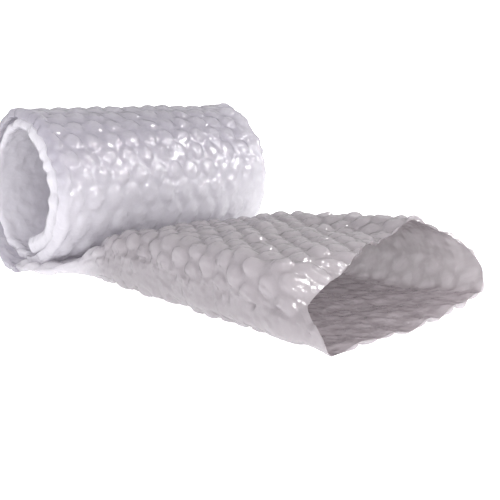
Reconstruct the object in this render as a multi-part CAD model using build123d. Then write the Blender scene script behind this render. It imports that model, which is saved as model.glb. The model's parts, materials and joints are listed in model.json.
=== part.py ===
"""Bubble wrap roll with its free end drawn out: one web of tubular bubble film, 400 mm wide.

The web is wound into a soft, coreless roll that lies on a small flat spot. From the foot of the roll
the flattened tube runs out along the ground, opens like a sleeve and ends in a mouth that leans back,
so that the lower film reaches further than the upper one. Roll, lead and sleeve are a single
piece of film, so they are a single solid: the wound turns are one body, and each wall of the sleeve
is one bubble film thick. The bubbles are part of the surface and lie inside that thickness.

Millimetres. +Z is up, the roll's axis runs along X, and the sleeve runs out towards -Y. The origin is
on the ground, at the centre of the box that holds the whole piece. The shape is first built with x
from the roll's near end and y from the roll's axis, and is moved to that origin at the end.
"""

import math
import os

from build123d import *

# The web: a flattened tube of bubble film.
web_width = 400.0  # flat width of the tube, which is also the length of the roll
film = 10.0  # one bubble film, from its backing to the tops of the bubbles
slit = 2.0  # between the two films where the web lies flat

# The roll.
roll_radius = 130.0
bore_radius = 95.0  # the open centre of the coreless roll
flat_depth = 3.0  # how far the soft roll settles on its flat spot
lead_in = 20.0  # how near the roll's axis the flat lead starts, inside the wound turns
nip_clearance = 6.0  # from where roll and lead part to the start of the hollow

# The stretches of the sleeve, one after the other along the ground.
gather_length = 50.0  # where the creases draw in and the sleeve begins to rise
rise_length = 155.0  # from there to where it stands at its full height
pocket_length = 265.0  # over the article that it wraps
droop_length = 40.0  # where the front of the upper film droops
lip_length = 35.0  # the last stretch of the lower film
set_back = 120.0  # how much shorter the top of the sleeve is than its lower film

# The section over the pocket. A crease is the fold at each side of the flattened tube.
front_draw = 45.0  # how far the front crease draws in from the edge of the web
back_draw = 36.0  # the same for the back crease
crease_height = 36.0
pocket_height = 100.0  # outside height of the upper film over the pocket
front_shoulder = 8.0  # from the front crease in to the top of the upright front wall
back_shoulder = 40.0  # from the back crease in to the top of the sloping back wall
foot = 18.0  # from a crease in to where the lower film meets the ground
billow = 24.0  # how much higher the back of the upper film stands at the end of the pocket

# How far the section has come from flat to full, as shares of the way across and of the way up.
gathered = (0.75, 0.3)  # at the end of the gathered stretch
nearly_open = (0.95, 0.78)  # halfway along the rising stretch

# The mouth, which droops at the front and stands open at the back.
mouth_front_crease = 16.0
mouth_front_shoulder = 40.0
mouth_sag = 48.0  # how far its front shoulder hangs below the pocket's height
mouth_back_draw = 25.0
mouth_back_crease = 55.0
mouth_back_shoulder = 57.0
mouth_gape = 26.0  # how far its back shoulder stands above the pocket's height

# Radii of the film's turns, on the outside of the sleeve and at the corners of its hollow.
outer_turn = 13.0
inner_turn = 4.0
mouth_outer_turn = 6.5
mouth_inner_turn = 2.0
flat_outer_turn = 5.0
flat_inner_turn = 0.3

lead = 2 * film + slit
axis_height = roll_radius - flat_depth

# Distances from the roll's axis along the ground.
parting = math.sqrt(roll_radius**2 - (axis_height - lead) ** 2) + nip_clearance
gather_end = parting + gather_length
pocket_start = gather_end + rise_length
pocket_end = pocket_start + pocket_length
droop_end = pocket_end + droop_length
lower_reach = droop_end + lip_length


class Outline:
    """The sleeve's section: its outside corners, and the radii of its outer and inner turns."""

    def __init__(self, corners, outer, inner):
        """The corners run round from the front foot over the top to the back foot."""
        self.corners = corners
        self.outer = outer
        self.inner = inner

    def stepped_in(self):
        """The corners of the hollow: each side moved in by the thickness of the film."""
        moved = []
        for i, here in enumerate(self.corners):
            arriving = (here - self.corners[i - 1]).normalized()
            leaving = (self.corners[(i + 1) % len(self.corners)] - here).normalized()
            inward = Vector(arriving.Y, -arriving.X)
            halfway = (inward + Vector(leaving.Y, -leaving.X)).normalized()
            moved.append(here + halfway * (film / halfway.dot(inward)))
        return moved


def sleeve_outline(draws, creases, shoulders, heights, feet, outer, inner):
    """An outline from sizes given in pairs, first at the front and then at the back.

    Draws are how far the creases lie in from the edges of the web, creases their heights, shoulders
    and feet how far the top and the ground contact lie in from them, and heights those of the top.
    """
    front = draws[0]
    back = web_width - draws[1]
    corners = [
        Vector(front + feet[0], 0),
        Vector(front, creases[0]),
        Vector(front + shoulders[0], heights[0]),
        Vector(back - shoulders[1], heights[1]),
        Vector(back, creases[1]),
        Vector(back - feet[1], 0),
    ]
    return Outline(corners, outer, inner)


def flat_outline():
    """The web as it leaves the roll: two films lying flat, a slit apart, folded at each side."""
    half = (lead / 2, lead / 2)
    return sleeve_outline((0, 0), half, half, (lead, lead), half, flat_outer_turn, flat_inner_turn)


def pocket_outline(rise=0.0):
    """The open sleeve: an upright front wall, a top that may rise to the back, a sloping back wall."""
    return sleeve_outline(
        draws=(front_draw, back_draw),
        creases=(crease_height, crease_height),
        shoulders=(front_shoulder, back_shoulder),
        heights=(pocket_height, pocket_height + rise),
        feet=(foot, foot),
        outer=outer_turn,
        inner=inner_turn,
    )


def mouth_outline():
    """The end of the sleeve: low at the front crease, high and wide at the back."""
    return sleeve_outline(
        draws=(front_draw, mouth_back_draw),
        creases=(mouth_front_crease, mouth_back_crease),
        shoulders=(mouth_front_shoulder, mouth_back_shoulder),
        heights=(pocket_height - mouth_sag, pocket_height + mouth_gape),
        feet=(foot, foot),
        outer=mouth_outer_turn,
        inner=mouth_inner_turn,
    )


def between(first, second, across, up):
    """The outline that has come these shares of the way, across and up, from the first to the second."""
    corners = []
    for a, b in zip(first.corners, second.corners):
        corners.append(Vector(a.X + (b.X - a.X) * across, a.Y + (b.Y - a.Y) * up))
    outer = first.outer + (second.outer - first.outer) * up
    inner = first.inner + (second.inner - first.inner) * up
    return Outline(corners, outer, inner)


def section(distance, corners, turn):
    """A flat face across the sleeve, this far from the roll's axis, with rounded corners."""
    across = Plane(origin=(0, -distance, 0), x_dir=(1, 0, 0), z_dir=(0, -1, 0))
    with BuildSketch(across) as sketch:
        with BuildLine():
            FilletPolyline(*corners, radius=turn, close=True)
        make_face()
    return sketch.sketch.faces()[0]


def sleeve():
    """The lead and the sleeve: the outside along its length, less the hollow between its films."""
    flat = flat_outline()
    full = pocket_outline()
    stations = [
        (parting, flat),
        (gather_end, between(flat, full, *gathered)),
        ((gather_end + pocket_start) / 2, between(flat, full, *nearly_open)),
        (pocket_start, full),
        (pocket_end, pocket_outline(billow)),
        (droop_end, mouth_outline()),
        (lower_reach, mouth_outline()),
    ]
    outside = [section(lead_in, flat.corners, flat.outer)]
    hollow = []
    for distance, outline in stations:
        outside.append(section(distance, outline.corners, outline.outer))
        hollow.append(section(distance, outline.stepped_in(), outline.inner))
    return loft(outside, ruled=True) - loft(hollow, ruled=True)


def leaning_cut():
    """What the mouth leaves off, seen from the side: all that lies beyond its leaning line."""
    top = pocket_height + mouth_gape
    with BuildSketch(Plane.YZ) as side:
        Polygon((-lower_reach, film), (set_back - lower_reach, top), (-lower_reach, top), align=None)
    return extrude(side.sketch, web_width)


def along_roll(radius):
    """A cylinder of this radius about the roll's axis, from its near end to its far end."""
    upright = Cylinder(radius, web_width, align=(Align.CENTER, Align.CENTER, Align.MIN))
    return Pos(0, 0, axis_height) * Rot(0, 90, 0) * upright


def roll():
    """The wound turns, with the flat spot where the ground stops them, still without their bore."""
    size = 2 * roll_radius
    above_ground = Box(web_width, size, size, align=(Align.MIN, Align.CENTER, Align.MIN))
    return along_roll(roll_radius) & above_ground


def bubble_wrap():
    """The whole web as one solid, moved to the middle of the ground it covers."""
    web = roll() + (sleeve() - leaning_cut()) - along_roll(bore_radius)
    return Pos(-web_width / 2, (lower_reach - roll_radius) / 2, 0) * web


os.makedirs("parts", exist_ok=True)
export_step(bubble_wrap().solids()[0], "parts/bubble_wrap.step")
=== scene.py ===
"""A roll of tubular bubble film lying on its side, its free end drawn out as an open sleeve.

The whole thing is one web: a flattened tube, made of two bubble films joined at a fold on each side.
Sizes are in millimetres in the web's own measures, which are x from the roll's near end, the
distance out from the roll's axis and the height, until a mesh is made in the frame's metres.
"""

import json
import math

import bmesh
import bpy
import numpy as np
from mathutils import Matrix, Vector


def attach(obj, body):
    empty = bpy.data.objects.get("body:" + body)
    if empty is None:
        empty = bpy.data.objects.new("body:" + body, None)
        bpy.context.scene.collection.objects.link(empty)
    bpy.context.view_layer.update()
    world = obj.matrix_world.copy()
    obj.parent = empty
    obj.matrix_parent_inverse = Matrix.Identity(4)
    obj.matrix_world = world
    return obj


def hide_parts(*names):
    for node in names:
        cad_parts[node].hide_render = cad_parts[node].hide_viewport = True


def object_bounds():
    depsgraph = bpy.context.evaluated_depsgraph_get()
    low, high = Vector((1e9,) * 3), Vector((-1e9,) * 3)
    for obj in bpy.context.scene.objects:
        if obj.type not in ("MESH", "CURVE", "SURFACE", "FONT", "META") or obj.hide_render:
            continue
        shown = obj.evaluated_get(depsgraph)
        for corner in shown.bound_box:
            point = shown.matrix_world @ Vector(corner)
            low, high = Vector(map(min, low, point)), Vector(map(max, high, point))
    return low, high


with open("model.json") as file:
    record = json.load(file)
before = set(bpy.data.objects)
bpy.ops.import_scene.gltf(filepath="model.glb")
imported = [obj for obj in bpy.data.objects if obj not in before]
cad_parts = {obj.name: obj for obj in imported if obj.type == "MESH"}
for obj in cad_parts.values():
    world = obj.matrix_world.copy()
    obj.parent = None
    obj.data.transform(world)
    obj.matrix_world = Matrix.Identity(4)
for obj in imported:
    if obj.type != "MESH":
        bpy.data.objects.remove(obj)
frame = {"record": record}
cad_low, cad_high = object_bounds()

# ---------------------------------------------------------------------------------------------------
# The wound roll: its outer turn.
# Large-bubble polyethylene film, wound up with no core. Each turn is the flattened tube, one bubble
# film on the other, and its folded edges make the roll's soft, lumpy ends.
# ---------------------------------------------------------------------------------------------------

centre_mount = next(m for m in frame["record"]["mounts"] if m["name"] == "roll_centre")
web_width = centre_mount["dims"]["length_mm"]
bore_radius = centre_mount["dims"]["r_mm"]
axis_y = centre_mount["pos_m"][1]
axis_height = centre_mount["pos_m"][2] * 1000
roll_radius = (cad_high.y - axis_y) * 1000

bubble_pitch = web_width / 12
bubble_row = bubble_pitch * math.sqrt(3) / 2  # from one staggered row to the next
bubble_radius = 0.44 * bubble_pitch
floor_clearance = 0.4  # the film lies this far off the ground at the least
crumple_mean = 0.64  # what crumples comes to on average


def colour(hex_code):
    """The linear RGBA of an sRGB hex colour: each channel is ((c + 0.055) / 1.055)^2.4, or c / 12.92
    where it is dark."""
    channels = [int(hex_code[i : i + 2], 16) / 255 for i in (1, 3, 5)]
    return [c / 12.92 if c <= 0.04045 else ((c + 0.055) / 1.055) ** 2.4 for c in channels] + [1.0]


def add_node(material, kind, settings=None, links=None):
    """Adds a node, gives it its settings, and links its inputs to other nodes' outputs."""
    node = material.node_tree.nodes.new(kind)
    for key, value in (settings or {}).items():
        if isinstance(key, str) and hasattr(node, key):
            setattr(node, key, value)
        else:
            node.inputs[key].default_value = value
    for key, source in (links or {}).items():
        material.node_tree.links.new(source, node.inputs[key])
    return node


def scattered(i, j, seed):
    """A fixed pseudo-random number from 0 to 1 for each pair of whole numbers: the broken part of a
    large sine of their weighted sum."""
    return np.mod(np.sin(i * 127.1 + j * 311.7 + seed * 74.7) * 43758.5453, 1.0)


def ripples(a, b, shortest, longest, seed, count=16):
    """Gentle unevenness from about -1 to 1: the mean of plane waves in many directions, each with a
    length between the shortest and the longest."""
    rng = np.random.default_rng(seed)
    total = np.zeros(np.broadcast(a, b).shape)
    for _ in range(count):
        angle, phase = rng.uniform(0, 2 * math.pi, 2)
        length = math.exp(rng.uniform(math.log(shortest), math.log(longest)))
        total += np.sin(2 * math.pi * (a * math.cos(angle) + b * math.sin(angle)) / length + phase)
    return total / math.sqrt(count)


def crumples(a, b, shortest, longest, seed, count=7):
    """Sharp little creases with soft hollows between them, from 0 to 1: the mean of the absolute
    values of plane waves in many directions."""
    rng = np.random.default_rng(seed)
    total = np.zeros(np.broadcast(a, b).shape)
    for _ in range(count):
        angle, phase = rng.uniform(0, 2 * math.pi, 2)
        length = rng.uniform(shortest, longest)
        total += np.abs(np.sin(math.pi * (a * math.cos(angle) + b * math.sin(angle)) / length + phase))
    return total / count


def smooth_step(value, start, end):
    """0 before start, 1 past end, and an even S-shaped rise from one to the other."""
    share = np.clip((value - start) / (end - start), 0, 1)
    return share * share * (3 - 2 * share)


def bubbles(across, along, steepness, seed):
    """How high the bubbled layer stands, from 0 between the bubbles to about 1 on the tallest.

    The bubbles stand in rows across the web, each row half a pitch out of step with the last. Over
    each one the height is (1 - (distance / radius)^2.4)^steepness, times a height of its own, and it
    leans and sags a little to one side, as a soft bubble does.
    """
    best = np.full(np.broadcast(across, along).shape, 9.0)
    height = np.zeros_like(best)
    first_row = np.floor(along / bubble_row)
    for step in (0, 1):
        row = first_row + step
        shift = 0.5 * np.mod(row, 2)
        column = np.round(across / bubble_pitch - shift)
        from_a = across - (column + shift) * bubble_pitch
        from_b = along - row * bubble_row
        from_a = from_a - 0.05 * bubble_pitch * (scattered(column, row, 1 + seed) - 0.5)
        from_b = from_b - 0.05 * bubble_pitch * (scattered(column, row, 2 + seed) - 0.5)
        distance = np.hypot(from_a, from_b) / bubble_radius
        lean = 2 * math.pi * scattered(column, row, 3 + seed)
        sag = 0.7 * scattered(column, row, 4 + seed)
        tilt = 1 + sag * (from_a * np.cos(lean) + from_b * np.sin(lean)) / bubble_radius
        tall = 0.55 + 0.45 * scattered(column, row, 5 + seed)
        dome = (1 - np.clip(distance, 0, 1) ** 2.4) ** steepness * tall * tilt
        nearer = distance < best
        height = np.where(nearer, dome, height)
        best = np.where(nearer, distance, best)
    return height


def grid_faces(index, closed=False):
    """The four corners of each cell of a grid of vertex numbers. A closed grid's last column joins
    its first."""
    if closed:
        index = np.concatenate([index, index[:, :1]], axis=1)
    corners = [index[:-1, :-1], index[:-1, 1:], index[1:, 1:], index[1:, :-1]]
    return np.stack(corners, axis=-1).reshape(-1, 4)


def film_piece(name, points, faces, rims, stand, painted_light, material):
    """A closed piece of film from points in the web's measures. Its bubble heights and its share of
    painted light are kept as attributes, and it is sharp where it is cut, which is round its rims.

    A point (x, distance, height) goes to (x - half the width, axis - distance, height), in metres.
    """
    placed = np.empty((len(points), 3))
    placed[:, 0] = (points[:, 0] - web_width / 2) / 1000
    placed[:, 1] = axis_y - points[:, 1] / 1000
    placed[:, 2] = np.maximum(points[:, 2], floor_clearance) / 1000
    mesh = bpy.data.meshes.new(name)
    mesh.vertices.add(len(placed))
    mesh.vertices.foreach_set("co", placed.ravel())
    mesh.loops.add(faces.size)
    mesh.loops.foreach_set("vertex_index", faces.ravel().astype(np.int32))
    mesh.polygons.add(len(faces))
    mesh.polygons.foreach_set("loop_start", np.arange(0, faces.size, 4, dtype=np.int32))
    mesh.update(calc_edges=True)
    turned = bmesh.new()
    turned.from_mesh(mesh)
    bmesh.ops.recalc_face_normals(turned, faces=turned.faces)
    turned.to_mesh(mesh)
    turned.free()
    for label, values in (("stand", stand), ("painted_light", painted_light)):
        kept = mesh.attributes.new(label, "FLOAT", "POINT")
        kept.data.foreach_set("value", values.ravel().astype(np.float32))
    mesh.shade_smooth()
    ends = np.empty(len(mesh.edges) * 2, np.int32)
    mesh.edges.foreach_get("vertices", ends)
    on_rim = np.isin(ends, rims).reshape(-1, 2).all(axis=1)
    mesh.attributes.new("sharp_edge", "BOOLEAN", "EDGE").data.foreach_set("value", on_rim)
    mesh.materials.append(material)
    piece = bpy.data.objects.new(name, mesh)
    bpy.context.scene.collection.objects.link(piece)
    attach(piece, "root")
    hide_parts("bubble_wrap")


# The film's patterns, as how many there are in a metre. The creases and flakes of real film are from
# 1 to 5 mm across. They are drawn coarser here, so that they show.
facets_per_metre = 85.0  # slack facets 12 mm across
crinkles_per_metre = 115.0  # soft crinkles 9 mm across
flakes_per_metre = 150.0  # flat flakes 7 mm across
clouds_per_metre = 60.0  # cloudy patches 17 mm across, where the film is thicker and thinner
facet_depth = 0.0018  # metres
crinkle_depth = 0.0013
flake_tilt = 0.5  # a flake's normal leans by up to half of this either way
glancing_cover = 0.97  # how little shows through the film where it is seen edge on
backlit_share = 0.4  # how much of its tone the film takes from the light behind it
painted_light_colour = "#F1EFF3"  # painted light, laid on where the film lies in shade


def film_material(name, light, dark, clearest):
    """Low-density polyethylene film, blown and then drawn into bubbles by a vacuum. It is milky, glossy
    and crinkled, clearest where it is looked at squarely and whiter at a glancing angle. The bubbles'
    tops are painted light and the valleys between them painted dark, as painted shade; the thicker
    clouds are lighter at random, and painted light is mixed in where the film lies in shade.

    A colour Mix node takes its two colours on sockets 6 and 7, and gives the mixed one on socket 2.
    """
    material = bpy.data.materials.new(name)
    material.use_nodes = True
    material.node_tree.nodes.clear()
    place = add_node(material, "ShaderNodeTexCoord").outputs["Object"]
    stand = add_node(material, "ShaderNodeAttribute", {"attribute_name": "stand"})
    painted_light = add_node(material, "ShaderNodeAttribute", {"attribute_name": "painted_light"})
    facets = add_node(
        material,
        "ShaderNodeTexVoronoi",
        {"feature": "F1", "Scale": facets_per_metre},
        {"Vector": place},
    )
    creases = add_node(
        material,
        "ShaderNodeBump",
        {"Strength": 0.6, "Distance": facet_depth},
        {"Height": facets.outputs["Distance"]},
    )
    crinkle = add_node(
        material,
        "ShaderNodeTexNoise",
        {"Scale": crinkles_per_metre, "Detail": 1.0, "Roughness": 0.5, "Distortion": 0.4},
        {"Vector": place},
    )
    surface = add_node(
        material,
        "ShaderNodeBump",
        {"Strength": 1.0, "Distance": crinkle_depth},
        {"Height": crinkle.outputs["Fac"], "Normal": creases.outputs["Normal"]},
    )
    # The skin breaks into flat flakes, each tilted its own way, and these are what glints.
    flakes = add_node(
        material,
        "ShaderNodeTexVoronoi",
        {"feature": "F1", "Scale": flakes_per_metre},
        {"Vector": place},
    )
    tilted = add_node(
        material,
        "ShaderNodeVectorMath",
        {"operation": "MULTIPLY_ADD", 1: [flake_tilt] * 3},
        {0: flakes.outputs["Color"], 2: creases.outputs["Normal"]},
    )
    centred = add_node(
        material,
        "ShaderNodeVectorMath",
        {"operation": "SUBTRACT", 1: [flake_tilt / 2] * 3},
        {0: tilted.outputs["Vector"]},
    )
    flaked = add_node(
        material,
        "ShaderNodeVectorMath",
        {"operation": "NORMALIZE"},
        {0: centred.outputs["Vector"]},
    )
    facing = add_node(
        material,
        "ShaderNodeLayerWeight",
        {"Blend": 0.4},
        {"Normal": surface.outputs["Normal"]},
    )
    alpha = add_node(
        material,
        "ShaderNodeMapRange",
        {"To Min": clearest, "To Max": glancing_cover},
        {"Value": facing.outputs["Facing"]},
    )
    clouds = add_node(
        material,
        "ShaderNodeTexNoise",
        {"Scale": clouds_per_metre, "Detail": 3.0},
        {"Vector": place},
    )
    # Painted shade: the valleys between the bubbles are painted darker than their tops. The clouds vary
    # the tone at random.
    valley_shade_and_clouds = add_node(
        material,
        "ShaderNodeMath",
        {"operation": "MULTIPLY_ADD", 1: 0.8},
        {0: stand.outputs["Fac"], 2: clouds.outputs["Fac"]},
    )
    level = add_node(
        material,
        "ShaderNodeMapRange",
        {"From Min": 0.3, "From Max": 1.2},
        {"Value": valley_shade_and_clouds.outputs["Value"]},
    )
    valley_shaded_tint = add_node(
        material,
        "ShaderNodeMix",
        {"data_type": "RGBA", 6: colour(dark), 7: colour(light)},
        {"Factor": level.outputs["Result"]},
    )
    # Painted light: the painted_light attribute mixes in a lighter colour where the film lies in shade.
    painted_light_tint = add_node(
        material,
        "ShaderNodeMix",
        {"data_type": "RGBA", 7: colour(painted_light_colour)},
        {"Factor": painted_light.outputs["Fac"], 6: valley_shaded_tint.outputs[2]},
    )
    shader = add_node(
        material,
        "ShaderNodeBsdfPrincipled",
        {
            "Roughness": 0.08,
            "IOR": 1.51,
            "Specular IOR Level": 0.5,
            "Coat Weight": 1.0,
            "Coat Roughness": 0.05,
        },
        {
            "Base Color": painted_light_tint.outputs[2],
            "Normal": surface.outputs["Normal"],
            "Coat Normal": flaked.outputs["Vector"],
        },
    )
    glow = add_node(
        material,
        "ShaderNodeBsdfTranslucent",
        None,
        {"Color": painted_light_tint.outputs[2], "Normal": creases.outputs["Normal"]},
    )
    film = add_node(
        material,
        "ShaderNodeMixShader",
        {0: backlit_share},
        {1: shader.outputs["BSDF"], 2: glow.outputs["BSDF"]},
    )
    clear = add_node(material, "ShaderNodeBsdfTransparent")
    seen = add_node(
        material,
        "ShaderNodeMixShader",
        None,
        {0: alpha.outputs["Result"], 1: clear.outputs["BSDF"], 2: film.outputs["Shader"]},
    )
    add_node(material, "ShaderNodeOutputMaterial", None, {"Surface": seen.outputs["Shader"]})
    return material


# Several layers together look pale and faintly violet, and let little through.
wound_film = film_material("milky_ldpe_bubble_film_wound", "#C2BEC6", "#B2AEB8", 0.66)

turn_round = 16.0  # over this width a turn's edges round off
turn_slack = 2.5  # half the air between the two films of a wound turn
turn_bubble = 4.8  # the height that the wound bubbles are squashed to
inward_share = 0.45  # how much of that height they keep on the side towards the axis


def wound_turn(
    name, rows, columns, mid_radius, edge_puff, end, near_edge, far_edge, loose_edge, drop, least_painted_light, seed
):
    """One turn of the flattened tube: a thin round-edged slab, carried along a near-circle.

    Across the web the path is the outer film from edge to edge and then the inner film back again.
    Round the roll the angle goes from 0 at the foot up the back, over the top and down the front to
    its end. mid_radius gives the mean radius, and edge_puff how far the tube gapes along its folds,
    for each angle. loose_edge is how far the near fold strays outwards at the foot, drop how far the
    edges come in towards the axis, and least_painted_light the least share of painted light, a lighter
    colour laid on where the turn lies in shade, from 0 to 1.
    """
    angle = np.linspace(0, end, rows)[:, None]
    share = np.concatenate([np.linspace(0, 1, columns), np.linspace(1, 0, columns)])[None, :]
    side = np.concatenate([np.ones(columns), -np.ones(columns)])[None, :]
    mean = mid_radius(angle)
    near_edge = near_edge - loose_edge * (1 - smooth_step(angle, 0.12 * math.pi, 0.5 * math.pi))
    x = near_edge + (far_edge - near_edge) * share
    along = mean * angle
    from_edge = np.minimum(x - near_edge, far_edge - x)
    # Half the slab's thickness: a rounded edge, with the gape of the fold just inside it.
    slab = turn_slack * np.sqrt(1 - (1 - np.clip(from_edge / turn_slack / 1.6, 0, 1)) ** 2)
    slab = np.maximum(slab, 0.25)
    gape = edge_puff(angle)
    slab = slab + gape * smooth_step(from_edge, -1, 5) * (1 - smooth_step(from_edge, 7, 12 + 3 * gape))
    shoulder = drop * (1 - np.sqrt(1 - (1 - np.clip(from_edge / turn_round, 0, 1)) ** 2))
    stand = bubbles(x + 0.25 * bubble_pitch, along, 0.85, seed) * smooth_step(from_edge, 3.0, 14.0)
    crush = 0.86 + 0.14 * ripples(x, along, 50, 140, seed + 20)
    uneven = 1.6 * ripples(x, along, 90, 240, seed + 21) + 0.5 * ripples(x, along, 22, 50, seed + 22)
    uneven = uneven + 2.2 * (crumples(x, along, 9, 26, seed + 24) - crumple_mean)
    bubbled = turn_bubble * crush * stand * np.where(side > 0, 1, inward_share)
    radius = mean - shoulder + side * (slab + bubbled) + uneven
    # At its edges the tube is puckered, so its folds wave in and out.
    pucker = 1.8 * ripples(along, 0 * along, 14, 45, seed + 23) * (1 - smooth_step(from_edge, 2, 26))
    x = x + pucker * np.where(x < web_width / 2, 1, -1)
    distance = -radius * np.sin(angle)
    height = axis_height - radius * np.cos(angle)
    points = np.stack([x + 0 * angle, distance, height], axis=-1)
    index = np.arange(points.shape[0] * points.shape[1]).reshape(points.shape[:2])
    faces = [grid_faces(index, closed=True)]
    for ring in (index[0], index[-1]):
        faces.append(grid_faces(np.stack([ring[:columns], ring[::-1][:columns]])))
    rims = np.concatenate([index[0], index[-1]])
    # Painted light: the film is painted lighter where the turn comes down the front to the foot, which
    # lies in shade.
    painted_light = np.maximum(0.6 * smooth_step(angle, 1.3 * math.pi, 1.6 * math.pi), least_painted_light) + 0 * x
    film_piece(name, points.reshape(-1, 3), np.concatenate(faces), rims, stand, painted_light, wound_film)


def outer_mid(angle):
    """The outer turn keeps its radius most of the way round, and then dips under towards the foot,
    where it comes to lie on the lead."""
    dip = 13.5 * smooth_step(angle, 1.42 * math.pi, 2.02 * math.pi)
    return roll_radius - turn_slack - turn_bubble - dip


def outer_puff(angle):
    """The outer turn gapes along its folds by the same amount all the way round."""
    return 4.0 + 0 * angle


wound_turn(
    "roll_outer_turn",
    rows=316,
    columns=148,
    mid_radius=outer_mid,
    edge_puff=outer_puff,
    end=2.0 * math.pi,
    near_edge=0.0,
    far_edge=web_width + 3.0,
    loose_edge=18.0,
    drop=7.0,
    least_painted_light=0.0,
    seed=0,
)

# ---------------------------------------------------------------------------------------------------
# The wound roll: its inner turn.
# The same flattened tube, one turn further in. Its inside is the wall of the open centre, and its
# end, the end of the web, sags a little from the wall.
# ---------------------------------------------------------------------------------------------------


def inner_mid(angle):
    """The inner turn lies against the outer one, and its last stretch follows it inwards and sags."""
    inwards = 8.0 * smooth_step(angle, 0.95 * math.pi, 1.25 * math.pi)
    inwards += 10.0 * smooth_step(angle, 1.45 * math.pi, 1.95 * math.pi)
    return bore_radius + turn_slack + turn_bubble + 1.5 - inwards


def inner_puff(angle):
    """Towards its end the tube is slack, and gapes along its folds."""
    return 4.0 + 6.5 * smooth_step(angle, 0.95 * math.pi, 1.25 * math.pi)


# Painted light: the inner turn, the wall of the open centre, is painted lighter all the way round, where
# it lies in shade.
wound_turn(
    "roll_inner_turn",
    rows=262,
    columns=122,
    mid_radius=inner_mid,
    edge_puff=inner_puff,
    end=1.93 * math.pi,
    near_edge=1.0,
    far_edge=web_width - 4.0,
    loose_edge=0.0,
    drop=3.0,
    least_painted_light=0.9,
    seed=40,
)

# ---------------------------------------------------------------------------------------------------
# The sleeve: the free end of the web, which leaves the foot of the roll flat and is drawn out open.
# The same two films. The fold at the front has a smooth margin under it, and the mouth is cut so
# that the lower film reaches further out than the upper one.
# ---------------------------------------------------------------------------------------------------

# One film on its own is less milky than the wound layers, and so a little greyer.
single_film = film_material("milky_ldpe_bubble_film_single", "#9F969A", "#8E8488", 0.68)

sleeve_bubble = 7.2  # how high a bubble stands where nothing presses on it
smooth_margin = 46.0  # the width without bubbles, under the front fold
gather_middle = 120.0  # where the creases draw in as the sleeve leaves the roll, which puckers it
sleeve_start = -8.0  # just past the roll's axis, hidden between the foot and the ground
sleeve_rows = 126  # along each half of the sleeve

# Each station is a distance from the roll's axis and the corners (x, height) of the loop there, in
# order: the front fold, the top of the front wall, the front shoulder, the top at the front and in
# the middle, the start of the ridge, the ridge, the back shoulder, the back fold, the lower film at
# the back and in the middle, its foot, and the bulge of the smooth margin. The number between the
# distance and the corners is how softly these are rounded.
stations = [
    (-8, 2.0, [(-18, 9), (-4, 14), (40, 12), (130, 10.3), (200, 10.3), (285, 10.3), (330, 10.3),
         (375, 10.2), (400, 9), (365, 7.6), (200, 7.6), (62, 7.6), (4, 6)]),
    (50, 2.5, [(-10, 10), (6, 17), (44, 15), (130, 10.6), (200, 10.6), (285, 10.6), (330, 10.5),
         (374, 10.2), (399, 9), (365, 7.6), (200, 7.6), (62, 7.6), (10, 6)]),
    (78, 3.0, [(10, 13), (26, 18), (60, 18), (130, 15), (200, 14), (285, 13), (330, 12.5),
         (370, 11), (396, 9), (362, 7.6), (200, 7.6), (62, 7.0), (26, 7.2)]),
    (98, 5.0, [(30, 19), (40, 28), (62, 31), (130, 28), (200, 27), (285, 25), (328, 23),
         (368, 15), (389, 10), (356, 7.6), (200, 7.6), (62, 5.0), (35, 7.5)]),
    (125, 6.0, [(43, 33), (48, 45), (64, 51), (130, 48), (200, 46), (285, 45), (327, 42),
         (362, 26), (379, 15), (350, 7.6), (200, 7.6), (61, 3.0), (43, 10)]),
    (205, 7.0, [(45, 56), (51, 76), (66, 83), (130, 82), (200, 81), (285, 79), (325, 80),
         (351, 56), (366, 32), (345, 7.8), (200, 7.6), (60, 2.0), (44, 14)]),
    (290, 7.0, [(45, 53), (52, 84), (68, 92), (130, 91), (200, 91), (284, 89), (325, 93),
         (350, 62), (364, 38), (345, 8.0), (200, 7.6), (60, 2.0), (44, 14)]),
    (420, 7.0, [(45, 44), (53, 85), (68, 92), (130, 91), (200, 91), (284, 90), (324, 108),
         (352, 74), (367, 45), (346, 9.0), (200, 7.6), (60, 2.0), (44, 14)]),
    (505, 7.0, [(45, 41), (53, 84), (69, 91), (130, 91), (200, 91), (284, 92), (320, 118),
         (353, 88), (369, 52), (348, 11.0), (200, 7.6), (60, 2.0), (44, 13)]),
    (538, 6.0, [(46, 37), (54, 78), (71, 88), (130, 91), (198, 91), (284, 94), (320, 119),
         (354, 95), (371, 56), (350, 14.0), (200, 7.6), (60, 2.0), (45, 12)]),
    (562, 6.0, [(47, 33), (58, 41), (86, 48), (128, 72), (168, 90), (280, 98), (320, 118),
         (357, 96), (374, 56), (352, 17.0), (200, 7.6), (60, 2.0), (46, 11)]),
    (595, 5.0, [(48, 23), (60, 30), (88, 38), (128, 60), (168, 82), (280, 94), (320, 114),
         (359, 90), (378, 50), (352, 24.0), (200, 7.6), (62, 2.0), (48, 9)]),
    (640, 4.0, [(50, 14), (62, 20), (90, 28), (128, 48), (168, 74), (280, 88), (320, 108),
         (359, 86), (378, 46), (350, 24.0), (200, 7.6), (64, 2.0), (52, 6)]),
]
# Where the mouth is cut, as a distance from the roll's axis at each of those corners.
mouth_cut = np.array([626, 568, 562, 562, 552, 506, 508, 546, 590, 605, 620, 615, 618], float)

loop_points = 320
step_along = 2.5
reach = np.arange(sleeve_start, 640.0, step_along)
station_reach = np.array([station[0] for station in stations], float)
softness = np.array([station[1] for station in stations], float)
corners = np.array([station[2] for station in stations], float)


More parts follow.
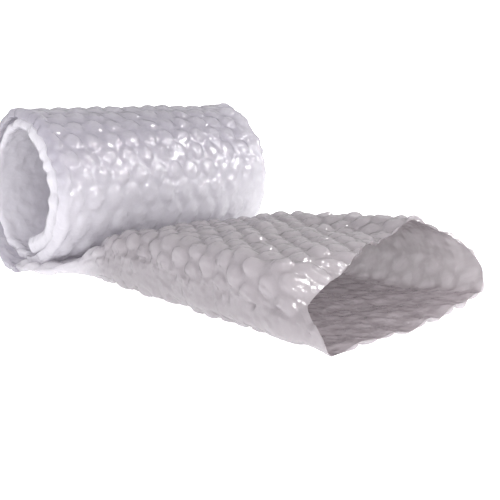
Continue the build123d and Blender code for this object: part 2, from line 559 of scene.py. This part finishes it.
def between_stations(values):
    """A value at each distance along the sleeve, from the values at the stations: straight between
    them, and then evened out by a Gaussian with a spread of 9 mm."""
    spread = 9.0 / step_along
    margin = 12  # steps, past which the Gaussian has all but died away
    weights = np.exp(-0.5 * (np.arange(-margin, margin + 1) / spread) ** 2)
    weights /= weights.sum()
    first = reach[0] - margin * step_along
    last = reach[-1] + (margin + 0.5) * step_along
    padded = np.interp(np.arange(first, last, step_along), station_reach, values)
    return np.convolve(padded, weights, mode="valid")[: len(reach)]


corner_x = np.stack([between_stations(column) for column in corners[:, :, 0].T], axis=1)
corner_z = np.stack([between_stations(column) for column in corners[:, :, 1].T], axis=1)
rounding = between_stations(softness)


def around(corner_values, corner_shares):
    """The value at each point of a loop, straight between the values at its corners, which lie at
    these shares of the way round it."""
    return np.interp(loop_share, corner_shares, np.append(corner_values, corner_values[0]))


def softened(values, spread, perimeter):
    """Values round a loop, evened out by a Gaussian along it: each wave that goes k times round is
    multiplied by exp(-2 (pi k spread / perimeter)^2)."""
    waves = np.fft.rfftfreq(loop_points, 1 / loop_points)
    keep = np.exp(-2 * (math.pi * waves * spread / perimeter) ** 2)
    return np.fft.irfft(np.fft.rfft(values) * keep, loop_points)


# How far round the loop each corner comes: its share of the loop's whole length.
next_x, next_z = np.roll(corner_x, -1, axis=1), np.roll(corner_z, -1, axis=1)
lengths = np.hypot(next_x - corner_x, next_z - corner_z)
shares = np.concatenate([np.zeros((len(reach), 1)), np.cumsum(lengths, axis=1)], axis=1)
shares /= shares[:, -1:]
loop_share = np.arange(loop_points) / loop_points
loop_x = np.stack([around(x, share) for x, share in zip(corner_x, shares)])
loop_z = np.stack([around(z, share) for z, share in zip(corner_z, shares)])
perimeter = lengths.sum(axis=1, keepdims=True)
loop_x = softened(loop_x, rounding[:, None], perimeter)
loop_z = softened(loop_z, rounding[:, None], perimeter)
# The cut is drawn on the loop 50 mm short of the end, which is about 780 mm round.
cut = softened(around(mouth_cut, shares[-20]), 8.0, 780.0)

round_web = loop_share[None, :] * 2 * web_width  # the web's own measure round it, from the front fold
opened = smooth_step(reach, 70, 150)[:, None]


def sleeve_part(name, first, last, rows):
    """A length of the sleeve between two distances, each a number or one for each point round the
    loop. The backing is the base loop, read off between its rows; the bubbled layer stands off it
    along its normal, and the two meet at both ends."""
    travel = np.linspace(0, 1, rows)[:, None]
    distance = first + (last - first) * travel + 0 * round_web
    row = np.clip((distance - reach[0]) / step_along, 0, len(reach) - 1.001)
    low = row.astype(int)
    part = row - low
    column = np.broadcast_to(np.arange(loop_points)[None, :], low.shape)

    def read(values):
        """Values on the rows of the base loop, straight between one row and the next."""
        return values[low, column] * (1 - part) + values[low + 1, column] * part

    base = np.stack([read(loop_x), distance, read(loop_z)], axis=-1)
    openness = read(np.broadcast_to(opened, loop_x.shape))
    web = np.broadcast_to(round_web, distance.shape)
    around_step = np.roll(base, -1, axis=1) - np.roll(base, 1, axis=1)
    lofted = (loop_x, np.broadcast_to(reach[:, None], loop_x.shape), loop_z)
    along_step = np.stack([read(np.gradient(values, axis=0)) for values in lofted], axis=-1)
    normal = np.cross(around_step, along_step)
    normal /= np.maximum(np.linalg.norm(normal, axis=2, keepdims=True), 1e-9)
    from_front = np.minimum(web, 2 * web_width - web)
    from_back = np.abs(web - web_width)
    below_fold = 2 * web_width - web
    # Bubbles cover the film but for its folds and, once it has left the roll, the smooth margin.
    plain = 1 - smooth_step(below_fold, smooth_margin - 4, smooth_margin + 6)
    cover = smooth_step(from_front, 1, 8) * smooth_step(from_back, 1, 9)
    cover = cover * (1 - plain * smooth_step(distance, 60, 90))
    stand = bubbles(web + 0.25 * bubble_pitch, distance, 0.7, 80) * cover
    height = 0.5 + sleeve_bubble * stand * (0.9 + 0.1 * ripples(web, distance, 50, 140, 81))
    # The film sags between what holds it up, and puckers along the front fold and in the gathers.
    slack = 1.8 * ripples(web, distance, 70, 190, 82) + 0.5 * ripples(web, distance, 18, 45, 83)
    lying = smooth_step(web, web_width, web_width + 50)
    lying = lying * smooth_step(below_fold, smooth_margin - 20, smooth_margin + 20)
    slack = slack + 2.2 * (1 - 0.7 * lying) * (crumples(web, distance, 9, 26, 87) - crumple_mean)
    pucker = 1.3 * ripples(0.3 * web, distance, 9, 26, 84) * (1 - smooth_step(from_front, 4, 16))
    gather = 1.6 * ripples(web, 0.25 * distance, 16, 40, 85)
    gather = gather * (1 - smooth_step(np.abs(distance - gather_middle), 20, 75))
    lip = 2.5 * ripples(web, 0 * web, 40, 110, 86) * smooth_step(distance, cut - 40, cut)
    shift = (slack + pucker + gather + lip) * openness
    middle = base + normal * shift[..., None]
    outside = middle + normal * height[..., None]
    inside = middle - normal * (0.4 + 0.35 * stand)[..., None]
    count = outside.shape[0] * outside.shape[1]
    index = np.arange(count).reshape(outside.shape[:2])
    faces = [grid_faces(index, True), grid_faces(index + count, True)]
    for ring in (index[0], index[-1]):
        faces.append(grid_faces(np.stack([ring, ring + count]), True))
    points = np.concatenate([outside.reshape(-1, 3), inside.reshape(-1, 3)])
    rims = np.concatenate([index[0], index[-1], index[0] + count, index[-1] + count])
    both = np.stack([stand, stand])
    # Painted light: near the roll, where the sleeve lies in shade, both sides are painted lighter.
    # Further out the outside keeps a little painted light and the inside none, so the inside is painted
    # darker, as shade.
    painted_light_near_roll = 0.8 * (1 - smooth_step(distance, 80, 230))
    painted_light = np.stack([np.maximum(painted_light_near_roll, 0.3), painted_light_near_roll])
    film_piece(name, points, np.concatenate(faces), rims, both, painted_light, single_film)


halfway = 10.5 * bubble_row  # between two rows of bubbles
sleeve_part("sleeve_run", sleeve_start, halfway, sleeve_rows)
sleeve_part("sleeve_mouth", halfway, cut[None, :], sleeve_rows)

# ---------------------------------------------------------------------------------------------------
# The studio: a matt white floor, a white paper wall all round it, soft lights and the camera. The
# paper is lit from behind, and only the camera sees it: it hides the edge of the floor.
# ---------------------------------------------------------------------------------------------------

floor_reach = 9.0  # metres from the middle to each side
wall_radius = 8.9
wall_sides = 64
wall_foot, wall_top = -0.1, 9.0


def studio_surface(name, points, faces, finish, roughness, glow):
    """A stage mesh of white board or paper, which glows as strongly as it says."""
    mesh = bpy.data.meshes.new(name)
    mesh.from_pydata(points, [], faces)
    surface = bpy.data.objects.new(name, mesh)
    bpy.context.scene.collection.objects.link(surface)
    material = bpy.data.materials.new(finish)
    material.use_nodes = True
    shader = material.node_tree.nodes["Principled BSDF"]
    shader.inputs["Base Color"].default_value = colour("#F4F4F5")
    shader.inputs["Roughness"].default_value = roughness
    shader.inputs["Emission Color"].default_value = colour("#FFFFFF")
    shader.inputs["Emission Strength"].default_value = glow
    mesh.materials.append(material)
    return surface


floor_corners = [(x * floor_reach, y * floor_reach, 0) for x, y in ((-1, -1), (1, -1), (1, 1), (-1, 1))]
studio_surface("floor", floor_corners, [(0, 1, 2, 3)], "matt_white_board", 0.9, 0.75)

wall_turn = np.linspace(0, 2 * math.pi, wall_sides, endpoint=False)
wall_ring = np.stack([wall_radius * np.cos(wall_turn), wall_radius * np.sin(wall_turn)], axis=1)
wall_points = [(x, y, z) for z in (wall_foot, wall_top) for x, y in wall_ring.tolist()]
wall_numbers = np.arange(2 * wall_sides).reshape(2, wall_sides)
wall_faces = grid_faces(wall_numbers, closed=True).tolist()
wall = studio_surface("wall", wall_points, wall_faces, "lit_white_paper", 0.5, 1.0)
wall.visible_diffuse = wall.visible_glossy = wall.visible_transmission = wall.visible_shadow = False

world = bpy.data.worlds.new("studio")
bpy.context.scene.world = world
world.use_nodes = True
background = world.node_tree.nodes["Background"]
background.inputs["Color"].default_value = colour("#FFFFFF")
background.inputs["Strength"].default_value = 0.8

film_middle = (0.0, 0.0, 0.1)


def soft_box(name, place, aim, width, watts, tone="#FFFFFF", in_gloss=False):
    """A square area light at a place in the frame, turned to face its aim.

    The film either takes its tone from the light, or mirrors it as glints.
    """
    lamp = bpy.data.lights.new(name, "AREA")
    lamp.size = width
    lamp.energy = watts
    lamp.color = colour(tone)[:3]
    held = bpy.data.objects.new(name, lamp)
    held.location = place
    held.rotation_euler = (Vector(aim) - Vector(place)).to_track_quat("-Z", "Y").to_euler()
    held.visible_diffuse = not in_gloss
    held.visible_transmission = not in_gloss
    held.visible_glossy = in_gloss
    bpy.context.scene.collection.objects.link(held)


soft_box("key", (1.15, -1.45, 1.0), film_middle, 0.5, 16)
soft_box("front", (-0.6, -1.4, 0.5), film_middle, 0.5, 12)
soft_box("top", (-0.3, -1.6, 1.8), film_middle, 0.5, 8)
soft_box("end", (-1.7, -0.2, 0.35), (-0.1, 0.25, 0.12), 0.5, 9, tone="#F6F4FF")

# Small lamps spread out on the right draw a band of small glints along the roll. The last two draw
# those on the sleeve's top and on its front wall.
glint_places = [
    (1.15, -1.45, 0.9),
    (1.35, -1.1, 1.15),
    (0.9, -1.2, 1.35),
    (1.1, -0.7, 1.55),
    (0.8, -1.75, 0.75),
    (-0.3, -1.7, 1.5),
    (-0.7, -1.85, 0.25),
]
for number, lamp_place in enumerate(glint_places):
    soft_box(f"glints_{number}", lamp_place, film_middle, 0.2, 12, in_gloss=True)

camera_data = bpy.data.cameras.new("camera")
camera_data.sensor_width = 36
camera_data.lens = 61.63
camera = bpy.data.objects.new("camera", camera_data)
camera.location = (-0.7964, -0.9882, 0.2960)
camera.rotation_euler = Vector((0.64093, 0.74283, -0.19341)).to_track_quat("-Z", "Y").to_euler()
bpy.context.scene.collection.objects.link(camera)
bpy.context.scene.camera = camera
bpy.context.scene.view_settings.view_transform = "Standard"
